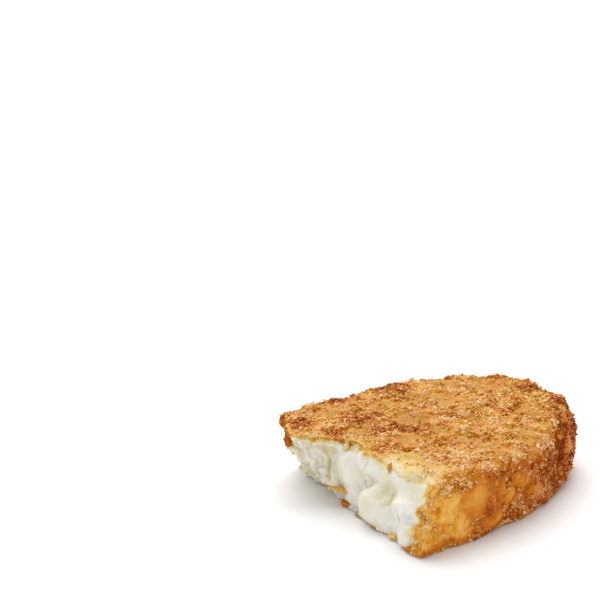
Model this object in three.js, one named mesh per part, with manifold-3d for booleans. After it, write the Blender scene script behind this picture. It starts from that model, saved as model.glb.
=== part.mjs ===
// Half of a fried hash brown: an oval patty of diced and shredded potato in a thin crisp crust,
// broken across near its middle, so that one side is a torn face of soft potato.
//
// Millimetres, +Z up. +X runs along the patty from the torn face to the round end, and +Y across it.
// The origin is the middle of the half's own box, on the surface that it lies on.

import * as THREE from "three";
import { mergeVertices } from "three/addons/utils/BufferGeometryUtils.js";
import Module from "manifold-3d";

// The whole patty, before it was broken.
const PATTY_LENGTH = 116;
const PATTY_WIDTH = 65.5;
const PATTY_HEIGHT = 17;
const OUTLINE_POWER = 2.35; // 2 would be an ellipse, and a higher power is squarer
const TOP_EDGE = 5; // radius of the rounded edge round the top
const FOOT_EDGE = 3.2; // radius of the rounded edge round the foot

// Pieces of potato press up under the crust, one in each cell of a jittered lattice.
const PIECE_CELL = 7.5;
const PIECE_SMALLEST = 3.2; // radius
const PIECE_LARGEST = 5.8;
const PIECE_SWELL = 1.1; // how far a piece lifts the crust

// The torn face. At the foot its line across the patty is x = FACE_X + FACE_SKEW * y. At the top the
// crust stands out in a tongue over the potato, and draws back in a bay and at the far corner.
const FACE_X = -6;
const FACE_SKEW = 0.3;
const LIP_X = -7;
const TONGUE = { out: 5.5, y: 15.5, width: 6 };
const BAY = { back: 4, y: 0, width: 9 };
const FAR_CORNER = { back: 3, y: 32, width: 6 };

// Lumps of potato that stand out of the torn face: the middle and half size of each one across the
// face (y) and up it (z), and how far it stands proud.
const LUMPS = [
  { y: 25.6, z: 9.4, halfY: 4.0, halfZ: 4.4, proud: 1.0 },
  { y: 18.5, z: 8.2, halfY: 6.4, halfZ: 5.8, proud: 1.8 },
  { y: 10.8, z: 6.6, halfY: 4.4, halfZ: 4.2, proud: 1.4 },
  { y: 2.8, z: 9.8, halfY: 6.0, halfZ: 6.0, proud: 3.2 },
  { y: -4.6, z: 12.6, halfY: 6.4, halfZ: 4.4, proud: 2.4 },
  { y: 0.8, z: 3.2, halfY: 4.4, halfZ: 3.4, proud: 1.8 },
  { y: -11.0, z: 4.6, halfY: 7.6, halfZ: 5.2, proud: 3.2 },
  { y: -12.4, z: 11.2, halfY: 3.8, halfZ: 3.2, proud: 1.2 },
  { y: -21.4, z: 9.4, halfY: 5.2, halfZ: 3.6, proud: 2.6 },
  { y: -20.0, z: 14.4, halfY: 5.8, halfZ: 3.2, proud: 1.2 },
  { y: -24.8, z: 3.4, halfY: 3.6, halfZ: 4.4, proud: 2.0 },
];
const LUMP_BLEND = 0.8; // how softly a lump grows out of the face
const TEAR_COARSE = { size: 6.5, height: 2.2 }; // raggedness of the tear: size across, and height
const TEAR_FINE = { size: 2.9, height: 1.0 };

// The middle of the half's box, in the whole patty's own frame, whose origin is the patty's middle.
const BOX_MIDDLE_X = 21.92;
const BOX_MIDDLE_Y = -0.16;

// Fineness of the faceted solid.
const BLANK_FINENESS = 19; // subdivisions of the icosahedron that is wrapped round the blank
const FACE_CELL = 1.3; // mesh size of the torn face
const FACE_MARGIN = 4; // how far that mesh runs past the patty all round
const GOLDEN_BROWN = 0xc8873c;

const halfLength = PATTY_LENGTH / 2;
const halfWidth = PATTY_WIDTH / 2;
const middleZ = PATTY_HEIGHT / 2;

const { lerp, clamp } = THREE.MathUtils;
const hump = (value, middle, width) => Math.exp(-(((value - middle) / width) ** 2));

// A repeatable random number from 0 to 1 for a lattice cell.
function chance(i, j, k, draw) {
  const wide = Math.sin(i * 127.1 + j * 311.7 + k * 74.7 + draw * 53.3) * 43758.5453;
  return wide - Math.floor(wide);
}

// Smooth noise from 0 to 1, with features of the given size.
function ragged(y, z, size) {
  const [cy, cz] = [Math.floor(y / size), Math.floor(z / size)];
  const [u, v] = [y / size - cy, z / size - cz].map((t) => t * t * (3 - 2 * t));
  const corner = (j, k) => chance(cy + j, cz + k, 0, size);
  return lerp(lerp(corner(0, 0), corner(1, 0), u), lerp(corner(0, 1), corner(1, 1), u), v);
}

// How much the pieces of potato near a point press up there: 0 between them, 1 over a piece's middle.
function pieces(x, y, z) {
  const [ci, cj, ck] = [x, y, z].map((v) => Math.floor(v / PIECE_CELL));
  let press = 0;
  for (let i = ci - 1; i <= ci + 1; i++)
    for (let j = cj - 1; j <= cj + 1; j++)
      for (let k = ck - 1; k <= ck + 1; k++) {
        const away = Math.hypot(
          x - (i + chance(i, j, k, 1)) * PIECE_CELL,
          y - (j + chance(i, j, k, 2)) * PIECE_CELL,
          z - (k + chance(i, j, k, 3)) * PIECE_CELL,
        );
        const radius = lerp(PIECE_SMALLEST, PIECE_LARGEST, chance(i, j, k, 4));
        press = Math.max(press, 1 - (away / radius) ** 2);
      }
  return press;
}

// Distance in from the oval outline, seen from above.
function insetFromOutline(x, y) {
  const power = OUTLINE_POWER;
  const u = Math.abs(x) / halfLength;
  const v = Math.abs(y) / halfWidth;
  const reach = (u ** power + v ** power) ** (1 / power);
  if (reach === 0) return halfWidth;
  const slope =
    Math.hypot(u ** (power - 1) / halfLength, v ** (power - 1) / halfWidth) * reach ** (1 - power);
  return Math.min((1 - reach) / slope, halfWidth);
}

// The patty as if it had not been broken: above 0 inside, 0 on its crust. The foot stays flat.
function patty(x, y, z) {
  const swell = PIECE_SWELL * (pieces(x, y, z) - 0.5);
  const side = insetFromOutline(x, y) + swell;
  const under = PATTY_HEIGHT - z + swell;
  const upper = TOP_EDGE - Math.hypot(Math.max(TOP_EDGE - side, 0), Math.max(TOP_EDGE - under, 0));
  const lower = FOOT_EDGE - Math.hypot(Math.max(FOOT_EDGE - side, 0), Math.max(FOOT_EDGE - z, 0));
  return Math.min(upper, lower);
}

// The last length up to far at which the function is not below 0, found by steps and then by halving.
function lastInside(inside, far, step) {
  let outer = far;
  while (outer > 0 && inside(outer) < 0) outer -= step;
  let inner = Math.max(outer, 0);
  outer = inner + step;
  for (let i = 0; i < HALVINGS; i++) {
    const half = (inner + outer) / 2;
    if (inside(half) < 0) outer = half;
    else inner = half;
  }
  return inner;
}

// The blank is the round end of the patty, with some to spare past the torn face. It is wrapped from
// a plate inside it: TOP_EDGE in from the outline, and laid out round CORE_X.
const CORE_X = 18;
const BLANK_START_X = -22;
const SEARCH_STEP = 0.25;
const HALVINGS = 40;
const FOOT_SNAP = 1e-5; // a point lower than this is on the flat foot
const plateHalf = middleZ - TOP_EDGE;

const blank = (x, y, z) => Math.min(patty(x, y, z), x - BLANK_START_X);

// How far the plate reaches from CORE_X in a direction.
function plateReach(angle) {
  const inside = (r) => {
    const x = CORE_X + r * Math.cos(angle);
    return Math.min(insetFromOutline(x, r * Math.sin(angle)), x - BLANK_START_X) - TOP_EDGE;
  };
  return lastInside(inside, halfLength, SEARCH_STEP);
}

// Moves a point of a unit sphere on to the blank. Its latitude becomes a length along the blank's
// section: from the middle of the wall, over the rounded edge, to the middle of the top or foot.
function wrap(point) {
  const angle = Math.atan2(point.y, point.x);
  const up = point.z < 0 ? -1 : 1;
  const latitude = Math.asin(Math.min(Math.abs(point.z), 1)) / (Math.PI / 2);
  const corner = (TOP_EDGE * Math.PI) / 2;
  const reach = plateReach(angle);
  const along = latitude * (plateHalf + corner + reach);

  const turn = clamp((along - plateHalf) / TOP_EDGE, 0, Math.PI / 2);
  const startR = reach - Math.max(along - plateHalf - corner, 0);
  const startZ = middleZ + up * Math.min(along, plateHalf);
  const place = (t) => {
    const r = startR + t * Math.cos(turn);
    return [CORE_X + r * Math.cos(angle), r * Math.sin(angle), startZ + up * t * Math.sin(turn)];
  };
  const t = lastInside((length) => blank(...place(length)), 2 * TOP_EDGE, SEARCH_STEP);
  const [x, y, z] = place(t);
  return point.set(x, y, z < FOOT_SNAP ? 0 : z);
}

// A copy of a geometry that holds places alone, with its shared corners merged.
function merged(geometry) {
  geometry.deleteAttribute("normal");
  geometry.deleteAttribute("uv");
  return mergeVertices(geometry);
}

// Calls move on each vertex of a geometry, as a Vector3 that it changes.
function moveVertices(geometry, move) {
  const positions = geometry.getAttribute("position");
  const point = new THREE.Vector3();
  for (let i = 0; i < positions.count; i++) {
    move(point.fromBufferAttribute(positions, i));
    positions.setXYZ(i, point.x, point.y, point.z);
  }
  return geometry;
}

// Where the torn face lies before its lumps: its x for a place across and up the patty.
function faceX(y, z) {
  const foot = FACE_X + FACE_SKEW * y;
  const lip =
    LIP_X -
    TONGUE.out * hump(y, TONGUE.y, TONGUE.width) +
    BAY.back * hump(y, BAY.y, BAY.width) +
    FAR_CORNER.back * hump(y, FAR_CORNER.y, FAR_CORNER.width);
  const tear = [TEAR_COARSE, TEAR_FINE]
    .map(({ size, height }) => height * (ragged(y, z, size) - 0.5))
    .reduce((a, b) => a + b);
  return lerp(foot, lip, clamp(z / PATTY_HEIGHT, 0, 1)) + tear;
}

function smoothMin(a, b, blend) {
  const share = Math.max(blend - Math.abs(a - b), 0) / blend;
  return Math.min(a, b) - (share * share * blend) / 4;
}

// The torn face with its lumps, each one the cap of an egg shape.
function tornX(y, z) {
  let x = faceX(y, z);
  for (const lump of LUMPS) {
    const away = ((y - lump.y) / lump.halfY) ** 2 + ((z - lump.z) / lump.halfZ) ** 2;
    if (away >= 1) continue;
    const depth = Math.min(lump.halfY, lump.halfZ);
    const capX = faceX(lump.y, lump.z) + depth - lump.proud - depth * Math.sqrt(1 - away);
    x = smoothMin(x, capX, LUMP_BLEND);
  }
  return x;
}

// All the space on the patty's side of the torn face: a box whose near side takes the face's shape.
function spaceBehindFace() {
  const depth = PATTY_LENGTH;
  const width = PATTY_WIDTH + 2 * FACE_MARGIN;
  const height = PATTY_HEIGHT + 2 * FACE_MARGIN;
  const box = new THREE.BoxGeometry(
    depth,
    width,
    height,
    1,
    Math.round(width / FACE_CELL),
    Math.round(height / FACE_CELL),
  );
  box.translate(depth / 2, 0, middleZ);
  return moveVertices(merged(box), (point) => {
    if (point.x < depth / 2) point.x = tornX(point.y, point.z);
  });
}

const wasm = await Module();
wasm.setup();

function toSolid(geometry) {
  return new wasm.Manifold(
    new wasm.Mesh({
      numProp: 3,
      vertProperties: geometry.getAttribute("position").array,
      triVerts: new Uint32Array(geometry.index.array),
    }),
  );
}

function toGeometry(solid) {
  const mesh = solid.getMesh();
  const geometry = new THREE.BufferGeometry();
  geometry.setAttribute("position", new THREE.BufferAttribute(mesh.vertProperties, 3));
  geometry.setIndex(new THREE.BufferAttribute(mesh.triVerts, 1));
  return geometry;
}

const sphere = merged(new THREE.IcosahedronGeometry(1, BLANK_FINENESS));
const wholeEnd = toSolid(moveVertices(sphere, wrap));
const half = toGeometry(wholeEnd.intersect(toSolid(spaceBehindFace())));
half.computeVertexNormals();

const crust = new THREE.MeshStandardMaterial({
  color: GOLDEN_BROWN,
  roughness: 0.6,
  metalness: 0,
});

const hashBrown = new THREE.Mesh(half, crust);
hashBrown.name = "hash_brown";
hashBrown.position.set(-BOX_MIDDLE_X, -BOX_MIDDLE_Y, 0);

const part = new THREE.Group();
part.add(hashBrown);

export default part;
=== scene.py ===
# %% [markdown]
# # A broken hash brown
#
# A hash brown is an oval patty of shredded and diced potato, dusted with crumb and deep fried. This one
# was broken by hand, so it has two finishes: a crisp, crumbly, golden crust, and a torn side of soft
# white potato.
#
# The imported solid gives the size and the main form. This lesson wraps that form in a finer mesh, presses
# the mesh into pieces of potato, scatters real crumbs over it, and paints the finishes with shader nodes.
# The solid itself is never moved: the finer mesh stands in for it.

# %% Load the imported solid
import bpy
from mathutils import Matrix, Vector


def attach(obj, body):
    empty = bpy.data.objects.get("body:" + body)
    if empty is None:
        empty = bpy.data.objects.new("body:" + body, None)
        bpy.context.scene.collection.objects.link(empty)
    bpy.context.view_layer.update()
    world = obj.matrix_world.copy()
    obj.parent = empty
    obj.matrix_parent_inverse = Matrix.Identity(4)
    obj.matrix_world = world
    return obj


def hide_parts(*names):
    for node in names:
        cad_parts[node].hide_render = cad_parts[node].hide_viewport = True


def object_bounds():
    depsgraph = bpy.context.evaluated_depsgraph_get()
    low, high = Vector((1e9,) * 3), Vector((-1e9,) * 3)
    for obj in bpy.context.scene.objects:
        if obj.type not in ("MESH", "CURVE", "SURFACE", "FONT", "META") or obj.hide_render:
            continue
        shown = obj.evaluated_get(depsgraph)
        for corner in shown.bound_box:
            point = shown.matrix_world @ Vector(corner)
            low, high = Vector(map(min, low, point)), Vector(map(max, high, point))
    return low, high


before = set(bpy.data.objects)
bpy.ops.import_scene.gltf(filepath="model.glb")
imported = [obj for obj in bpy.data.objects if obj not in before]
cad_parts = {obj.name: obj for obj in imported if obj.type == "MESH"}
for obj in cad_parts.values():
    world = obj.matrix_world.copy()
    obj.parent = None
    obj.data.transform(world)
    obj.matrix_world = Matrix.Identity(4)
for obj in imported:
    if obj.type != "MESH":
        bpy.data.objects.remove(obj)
cad_box = [list(corner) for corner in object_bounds()]

import math

import bmesh
import bpy
import numpy as np
from mathutils import Quaternion, Vector, kdtree, noise

MM = 0.001
box_low, box_high = (np.array(corner) / MM for corner in cad_box)
print("The packed solid measures", (box_high - box_low).round(1), "mm")

# %% [markdown]
# ## Two frames of reference
#
# Blender works in metres, with the origin under the middle of the half. A cook would rather speak of the
# whole patty, in millimetres from its own middle, because the crust follows the whole patty's outline and
# not the break. So the shapes below are worked out in the patty's frame, and only the finished meshes are
# in metres.

# %% The whole patty, before it was broken
PATTY_LENGTH = 116
PATTY_WIDTH = 65.5
PATTY_HEIGHT = 17
OUTLINE_POWER = 2.35
TOP_EDGE = 5
FOOT_EDGE = 3.2
PATTY_MIDDLE = np.array([-21.92, 0.16, 0])  # where the patty's middle lies in the half's frame


def from_patty(places):
    """Millimetres in the patty's frame, as metres in the half's frame."""
    return (np.asarray(places) + PATTY_MIDDLE) * MM


def to_patty(places):
    """Metres in the half's frame, as millimetres in the patty's frame."""
    return np.asarray(places) / MM - PATTY_MIDDLE


# %% [markdown]
# ## A finer skin for the form
#
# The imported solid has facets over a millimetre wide, which is far too coarse for a crust. A voxel remesh
# lays an even net of small squares over it, whatever its facets were, and a little smoothing takes the
# old facets out of that net. Both are modifiers, and their result is read back as a plain mesh.

# %% Wrap the solid in an even net
NET_SIZE = 0.37 * MM
SMOOTHING_STEPS = 9


def link(name, mesh):
    piece = bpy.data.objects.new(name, mesh)
    bpy.context.scene.collection.objects.link(piece)
    return piece


def evenly_meshed(node, name):
    """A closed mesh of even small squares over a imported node."""
    welded = bmesh.new()
    welded.from_mesh(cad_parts[node].data)
    bmesh.ops.remove_doubles(welded, verts=welded.verts, dist=0.001 * MM)
    mesh = bpy.data.meshes.new(name)
    welded.to_mesh(mesh)
    welded.free()
    piece = link(name, mesh)
    net = piece.modifiers.new("net", "REMESH")
    net.mode = "VOXEL"
    net.voxel_size = NET_SIZE
    soften = piece.modifiers.new("soften", "SMOOTH")
    soften.factor = 0.5
    soften.iterations = SMOOTHING_STEPS
    evaluated = piece.evaluated_get(bpy.context.evaluated_depsgraph_get())
    piece.data = bpy.data.meshes.new_from_object(evaluated)
    piece.data.name = name
    piece.modifiers.clear()
    piece.data.materials.clear()
    return piece


def read_vectors(collection, key):
    values = np.empty(len(collection) * 3, np.float32)
    collection.foreach_get(key, values)
    return values.reshape(-1, 3).astype(float)


patty = evenly_meshed("hash_brown", "crusted_potato")
skin = patty.data
net = to_patty(read_vectors(skin.vertices, "co"))
net_x, net_y, net_z = net.T
normals = read_vectors(skin.vertex_normals, "vector")
print("The net has", len(net), "points and", len(skin.polygons), "faces")

# %% [markdown]
# ## Three kinds of unevenness
#
# All the relief comes from three tools. Smooth noise gives soft swellings. Cells split space into lumps
# with a wall between each two, which is how pieces of potato pack together, and every cell leans its own
# way, so that broken potato gets flat, tilted facets. A step that eases in and out turns any of them into
# a mask from 0 to 1.


# %% Noise, cells and eased steps
def smooth_noise(places, size, octaves=1):
    """About -1 to 1 for each place, with swellings of the given size."""
    return np.array([noise.fractal(Vector(p) / size, 1.0, 2.0, octaves) for p in places])


def cells(places, size):
    """In millimetres: the way to the cell's middle, to the cell's wall, and the height on its slope."""
    answers = [noise.voronoi(Vector(p) / size) for p in places]
    ways = np.array([distances[:2] for distances, _ in answers]) * size
    middles = np.array([middles[0] for _, middles in answers])
    slopes = np.array([noise.cell_vector(Vector(middle) + Vector((50, 50, 50))) for middle in middles])
    height = ((places - middles * size) * (2 * slopes - 1)).sum(axis=1)
    return ways[:, 0], (ways[:, 1] - ways[:, 0]) / 2, height


def ease(value, start, end):
    """0 before start, 1 after end, and an eased step between them. start may be the larger."""
    t = np.clip((value - start) / (end - start), 0, 1)
    return t * t * (3 - 2 * t)


# %% [markdown]
# ## Crust or potato?
#
# Frying browns the outer millimetre of the whole patty. How deep a point lies under that old surface
# decides its finish: the outside is crust, the rim of the break runs from brown through yellow to white,
# and the rest of the torn face is white. Near the surface, the torn face is told from the crust by the
# way it faces.


# %% How deep each point lies under the fried surface
def inset_from_outline(x, y):
    u, v = np.abs(x) / (PATTY_LENGTH / 2), np.abs(y) / (PATTY_WIDTH / 2)
    reach = np.maximum((u**OUTLINE_POWER + v**OUTLINE_POWER) ** (1 / OUTLINE_POWER), 1e-6)
    steep = np.hypot(u ** (OUTLINE_POWER - 1) / PATTY_LENGTH, v ** (OUTLINE_POWER - 1) / PATTY_WIDTH) * 2
    slope = np.maximum(steep * reach ** (1 - OUTLINE_POWER), 1e-6)
    return np.minimum((1 - reach) / slope, PATTY_WIDTH / 2)


def depth_under_crust(places):
    x, y, z = places.T
    side = inset_from_outline(x, y)

    def rounded(edge, away):
        return edge - np.hypot(np.maximum(edge - side, 0), np.maximum(edge - away, 0))

    return np.minimum(rounded(TOP_EDGE, PATTY_HEIGHT - z), rounded(FOOT_EDGE, z))


def outward(places, step=0.3):
    """The way straight out through the fried surface, from each place."""
    here = depth_under_crust(places)
    slopes = [here - depth_under_crust(places + step * axis) for axis in np.eye(3)]
    slopes = np.stack(slopes, axis=1)
    return slopes / np.maximum(np.linalg.norm(slopes, axis=1, keepdims=True), 1e-6)


near_break = ease(net_x, 30, 20)
depth = depth_under_crust(net) * near_break
facing_out = (normals * outward(net)).sum(axis=1)
torn = np.maximum(ease(depth, 0.8, 1.6), ease(facing_out, 0.75, 0.35)) * near_break
fried = 1 - torn
underside = fried * ease(net_z, 0.6, 0.2)
wall = fried * ease(np.abs(normals[:, 2]), 0.75, 0.35)
print(f"{torn.mean():.0%} of the points are on the torn face, and {underside.mean():.0%} underneath")

# %% How far each point lies from the break
tear = kdtree.KDTree(int((torn > 0.5).sum()))
for i, place in enumerate(net[torn > 0.5]):
    tear.insert(place, i)
tear.balance()
from_break = np.array([tear.find(place)[2] for place in net])
print(f"The crust reaches {from_break.max():.0f} mm from the break")

# %% [markdown]
# ## Places named one by one
#
# Most of the crust is random, but the eye finds a few places first: smooth windows of bare potato on top,
# round pieces of potato along the front wall, and toasted or pale clusters of crumb. Each is one spot,
# given by its middle and its reach in millimetres. Where the spots are looked up, noise has pushed the
# places about, so that no outline comes out round.


# %% Spots on the top, on the front wall and on the break
TOP_REACH, FRONT_REACH, BREAK_REACH = 5, 9, 12  # how far a spot reaches into the patty
BREAK_X = -8


def spots_top(*spots):
    """Spots given by x, y and one reach for both."""
    return [(x, y, PATTY_HEIGHT, reach, reach, TOP_REACH) for x, y, reach in spots]


def spots_front(*spots):
    """Spots given by x, z and the two reaches."""
    return [(x, -PATTY_WIDTH / 2, z, reach_x, FRONT_REACH, reach_z) for x, z, reach_x, reach_z in spots]


def spots_break(*spots):
    """Spots given by y, z and the two reaches."""
    return [(BREAK_X, y, z, BREAK_REACH, reach_y, reach_z) for y, z, reach_y, reach_z in spots]


def domes(places, spots):
    """1 in the middle of a spot, 0 at its reach, and negative beyond, for the spot that is nearest."""
    ways = [(places - np.array(spot[:3])) / np.array(spot[3:]) for spot in spots]
    return 1 - np.min([(way**2).sum(axis=1) for way in ways], axis=0)


def near_spots(places, spots, soft=0.35):
    """1 inside any of the spots, 0 outside them, and an eased step between."""
    return ease(domes(places, spots), -2 * soft, 2 * soft)


def wavy(places, size, push):
    """The same places, pushed about by noise."""
    return places + push * np.stack([smooth_noise(places + 50 * i, size) for i in range(3)], axis=1)


ragged = wavy(wavy(net, 5, 2.0), 1.8, 0.9)

# %% Smooth windows on top, and smooth pieces along the front
WINDOWS = spots_top(
    (5.0, 22.5, 3.9), (10.0, 19.5, 3.0), (18.5, 17.0, 3.9), (16.0, 23.0, 2.5),
    (17.0, 4.5, 5.0), (8.0, -4.5, 4.1), (17.5, -6.0, 3.0), (24.0, 14.0, 3.7),
    (31.5, 10.0, 5.2), (1.5, 8.5, 3.0), (3.0, -9.0, 2.5), (40.5, 17.5, 4.0),
    (46.0, 9.5, 3.8), (42.5, -10.5, 4.2), (27.0, -4.5, 2.5), (17.5, -13.5, 3.2),
    (31.0, -19.5, 3.8), (19.0, -21.0, 3.2),
)
OLIVE_WINDOWS = spots_top(
    (18.0, 5.0, 4.6), (27.5, -4.0, 3.2), (6.0, -3.5, 2.2),
)
FRONT_PIECES = spots_front(
    (4.5, 10.0, 2.6, 3.4), (12.5, 11.0, 2.2, 2.4), (15.5, 7.5, 2.6, 3.4),
    (20.5, 10.0, 2.6, 2.6), (-4.5, 12.0, 2.8, 2.2), (-6.5, 8.0, 2.6, 2.0),
    (-1.0, 6.0, 2.8, 1.9), (9.0, 3.5, 4.4, 1.9), (-2.0, 3.0, 4.6, 1.5),
    (24.5, 6.0, 3.0, 2.2),
)
window_dome = np.maximum(domes(ragged, WINDOWS), 0) * fried
eaten_by_crumb = ease(smooth_noise(net + 15, 2.4, 2), -0.75, -0.35)
windows = near_spots(ragged, WINDOWS, soft=0.25) * fried * eaten_by_crumb
front_dome = ease(domes(wavy(wavy(net, 5, 2.0), 2.0, 0.7), FRONT_PIECES), -0.2, 1.0) * wall
front_pieces = ease(front_dome, 0.1, 0.6)
print(f"{len(WINDOWS)} windows cover {windows.mean() / fried.mean():.0%} of the crust")

# %% Toasted clusters and pale ones
TOASTED = spots_top(
    (7.0, 13.5, 3.4), (11.0, 12.5, 2.6), (6.5, 4.0, 3.6), (11.5, 3.0, 3.6),
    (13.5, -2.5, 2.4), (27.5, 23.0, 4.4), (12.0, 27.5, 2.4), (-3.0, 11.0, 2.8),
    (-6.0, 7.0, 2.0), (-5.5, 21.5, 3.6), (26.0, -0.5, 1.8), (31.0, -3.5, 1.7),
    (40.0, -18.0, 2.0), (43.5, -21.0, 2.8), (53.5, -1.0, 2.6), (51.5, -11.5, 3.0),
)
TOASTED += spots_front(
    (13.5, 2.5, 2.2, 1.4), (3.5, 4.0, 1.6, 1.4), (7.0, 6.0, 2.2, 0.9),
    (30.5, 10.5, 3.4, 3.2),
)
PALE = spots_top(
    (31.5, -10.0, 3.4), (36.5, -17.0, 2.4), (10.5, -18.5, 2.6), (33.0, -26.0, 2.4),
    (10.5, -29.0, 1.8), (9.5, 6.0, 1.8), (22.0, 7.5, 2.2), (-3.0, 15.5, 2.4),
    (-1.5, 25.5, 2.6), (-4.0, -23.0, 2.4),
)
PALE += spots_front(
    (26.5, 4.0, 3.2, 2.0),
)
SCORCHED = [(31.5, -28.5, 11.0, 2.0, 2.5, 3.0)]  # one dark spot, high on the wall of the round end
spotted = wavy(net + 21, 1.6, 1.2) - 21
round_end = ease(net_x, 16, 38)
foot_edge = ease(net_z, 3.4, 0.8)
toast = near_spots(spotted, TOASTED, soft=0.5) * (0.85 + 0.5 * smooth_noise(net + 11, 1.8, 2))
toast = np.maximum(toast, 0.4 * ease(smooth_noise(net - 25, 6, 3), 0.12, 0.6))
toast = np.maximum(toast, wall * round_end * (0.52 + 0.6 * smooth_noise(net + 31, 3.5, 2)))
toast = np.maximum(toast, 0.55 * fried * foot_edge * ease(net_x, -8, 6))
toast = np.clip(toast, 0, 1)
pale = near_spots(spotted, PALE, soft=0.5)
print(f"{(toast * fried > 0.5).mean() / fried.mean():.0%} of the crust is toasted")

# %% [markdown]
# ## Pieces of potato under the crust
#
# Diced potato shows through the crust. Along the wall the pieces stand out as smooth domes, and crumb
# holds on in the creases between them. On top the patty was pressed, so a window is only a low dome with
# a sunken edge, and the crumb round it eats into it. On the sides that the lists leave out, cells with
# wavy walls stand in for the named pieces.

# %% Find the pieces, the creases and the clumps
PIECE_SIZE = 8.5
SMALL_PIECE = 6.0

to_middle, to_wall, _ = cells(wavy(wavy(net, 7, 2.2), 2.2, 0.6), PIECE_SIZE)
crease = np.exp(-((to_wall / 0.6) ** 2))
dome = 1 - (to_middle / (PIECE_SIZE / 2)) ** 2
unlisted = 1 - np.maximum(ease(normals[:, 2], 0.2, 0.6), ease(net_y, -14, -22) * (1 - round_end))
cell_bare = ease(smooth_noise(net - 70, 7), 0.0, 0.2) * ease(to_wall, 0.1, 1.5) * unlisted
_, small_wall, _ = cells(wavy(wavy(net + 60, 6, 1.6), 1.8, 0.5), SMALL_PIECE)
small_crease = np.exp(-((small_wall / 0.9) ** 2)) * ease(smooth_noise(net - 40, 5), -0.2, 0.5)

scorched = near_spots(ragged, SCORCHED, soft=0.3)
bare = np.maximum.reduce([windows, 0.8 * front_pieces, cell_bare, scorched])
clump = smooth_noise(net, 2.6, 2)
patches = ease(clump + 0.5 * smooth_noise(net + 44, 4.5), -0.25, 0.3)
grit = smooth_noise(net + 40, 1.0, 2)
in_clusters = ease(smooth_noise(net + 13, 3.5, 2), 0.0, 0.2)
front = wall * (1 - unlisted)
side = inset_from_outline(*net[:, :2].T)
print(f"{bare.mean() / fried.mean():.0%} of the crust is bare of crumb")

# %% [markdown]
# ## Where the form itself leans
#
# Four places need more than grain. Towards the round end the front shoulder is pressed down and the far
# rim stands up. The foot of the front wall spreads on the plate, except where a crease nips it. And over
# the near half of the break the crust has lost its support, so its lip thins and sags, over a width that
# noise varies.

# %% Shoulder, rim, foot and lip
SHOULDER_DROP = 0.8
RIM_RISE, RIM_RISE_AT_END = 0.85, 0.4
FOOT_SPREAD = 1.0
FOOT_CREASE_X, FOOT_CREASE_WIDTH = 13, 4
LIP_WIDTH, SAGGING_LIP_WIDTH = 1.5, 10.5
SAG = 1.2

near_round_end = ease(net_x, 30, 44) * ease(net_z, 9, 12)
shoulder = ease(side + 1.2 * smooth_noise(net + 55, 4, 2), 6.5, 1.5) * near_round_end
far_rim = ease(side, 8, 3) * ease(net_x, 22, 34) * ease(net_z, 8, 12.5) * ease(net_y, -22, -14)
front_foot = ease(side, 4.5, 2) * ease(net_z, 4.5, 1.5) * ease(net_y, -14, -22) * ease(net_x, 36, 28)
foot_crease = np.exp(-(((net_x - FOOT_CREASE_X) / FOOT_CREASE_WIDTH) ** 2))
sagging = ease(net_y, -5, -12) * ease(net_y, -30, -26) * ease(net_z, 10, 13)
ragged_break = from_break + (0.7 + 1.9 * sagging) * smooth_noise(net + 71, 2.6, 3)
lip = np.clip(1 - ragged_break / (LIP_WIDTH + SAGGING_LIP_WIDTH * sagging), 0, 1)
lip *= ease(net_z, 6, 9) * (1 - 0.9 * front)
lip *= np.maximum(fried, sagging)
drop = SAG * sagging * np.maximum(lip**1.5, torn)
print(f"The lip sags by up to {drop[fried > 0.5].max():.1f} mm")

# %% Add up the relief of the crust
FRONT_DOME = 1.3
FRONT_INSET = 0.45

crust_relief = 0.30 * smooth_noise(net + 5, 9) + (0.75 * window_dome - 0.55 * windows) * (1 - wall)
crust_relief -= SHOULDER_DROP * shoulder * ease(net_y, -12, -18)
crust_relief += (RIM_RISE + RIM_RISE_AT_END * ease(net_x, 50, 54)) * far_rim
crust_relief += FOOT_SPREAD * front_foot * (1 - foot_crease)
crust_relief += FRONT_DOME * front_dome - FRONT_INSET * front
crust_relief -= 0.25 * front * small_crease * (1 - 0.6 * front_pieces)
crumbling = front * (1 - front_pieces) * np.maximum(in_clusters, 0.6 * ease(from_break, 7, 2))
crust_relief += (0.1 + 0.28 * grit) * crumbling
crust_relief += unlisted * (0.2 + 0.8 * wall) * (0.40 * dome - 0.45 * crease)
crumb_thickness = (1 - 0.85 * bare) * (1 - 0.3 * wall * (1 - round_end))
crust_relief += (0.34 * clump + 0.14 * grit * patches) * crumb_thickness

# %% [markdown]
# ## The torn side
#
# Soft potato doesn't cut. It comes apart between its pieces, so the torn face is a stack of plump lumps,
# which the solid has already. What is missing is finer: flat facets where a piece came away, creases that
# come and go, long fibres at the back, a few deep hollows, and a ragged edge where crust was pulled off.

# %% Tear the potato
HOLLOWS = spots_break(
    (-13.5, 10.5, 2.6, 2.4), (-17.5, 10.0, 2.4, 2.0), (9.0, 9.0, 0.8, 4.5),
    (-21.0, 5.0, 0.5, 3.0), (17.0, 5.0, 3.0, 0.9),
)
PLUMP = spots_break(
    (3.5, 10.0, 6.5, 6.0), (-11.0, 4.5, 9.0, 5.0), (-22.0, 9.0, 5.6, 3.6),
    (-25.0, 3.5, 3.4, 4.0),
)
CREAMY = spots_break((-8.5, 5.0, 7.0, 4.5))
FACET_SIZE, CHIP_SIZE = 5.2, 2.5
HOLLOW_DEPTH = 0.95

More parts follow.
